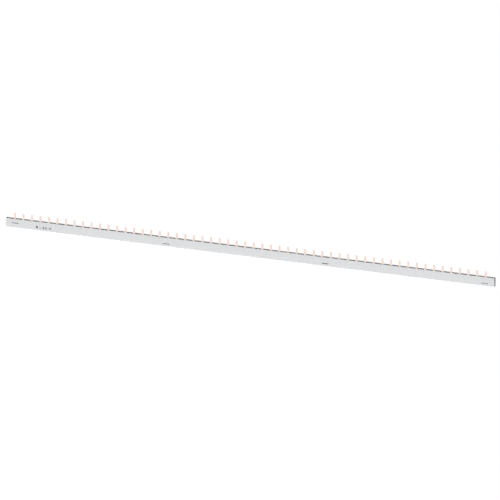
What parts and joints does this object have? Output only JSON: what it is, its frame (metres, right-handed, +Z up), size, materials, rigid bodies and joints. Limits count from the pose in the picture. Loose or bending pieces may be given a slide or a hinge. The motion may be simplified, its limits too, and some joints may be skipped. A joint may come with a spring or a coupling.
{
  "type": "comb busbar",
  "caption": "Single-phase comb busbar: a copper strip with upright pins in a slotted insulating profile with plug-in end caps.",
  "frame": {"origin": "middle of the bar's underside", "axes": "+X along the bar, +Y from the front face to the back face, +Z up along the pins"},
  "size_m": [1.016, 0.0072, 0.0289],
  "materials": {
    "profile_plastic": "light grey extruded plastic, satin",
    "copper": "bright stamped copper",
    "cap_plastic": "light grey moulded plastic, satin"
  },
  "bodies": {
    "root": {"profile": "profile_plastic", "comb": "copper", "end_cap_left": "cap_plastic", "end_cap_right": "cap_plastic"}
  },
  "joints": []
}
